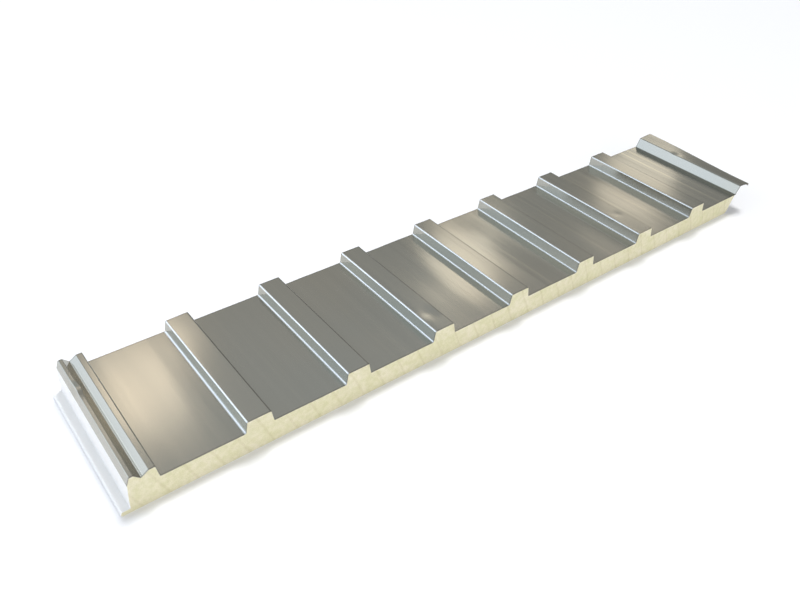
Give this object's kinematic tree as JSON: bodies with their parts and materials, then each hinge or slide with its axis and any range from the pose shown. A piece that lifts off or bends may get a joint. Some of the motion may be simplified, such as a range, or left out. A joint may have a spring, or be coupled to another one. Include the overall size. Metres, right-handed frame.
{
  "type": "insulated roof sandwich panel",
  "caption": "Short cut length of insulated roof panel: ribbed steel sheet, rigid foam core and flat steel liner, with a double-ridge side edge and an overlap flap.",
  "frame": {"origin": "middle of the overall width and of the cut length, on the underside of the liner", "axes": "+X across the cover width from the double-ridge edge to the overlap edge, +Y along the ribs, +Z out of the weather side"},
  "size_m": [1.0452, 0.2, 0.047],
  "materials": {
    "coated_steel": "glossy silver-grey coated steel with soft reflections",
    "foam": "saw-cut rigid polyurethane foam, matt, pale cream, fine closed cells",
    "white_liner": "white coil-coated steel, satin",
    "side_film": "thin white side film, satin"
  },
  "bodies": {
    "root": {"top_sheet": "coated_steel", "foam_core": "foam", "liner_sheet": "white_liner", "edge_film_left": "side_film", "edge_film_right": "side_film"}
  },
  "joints": []
}
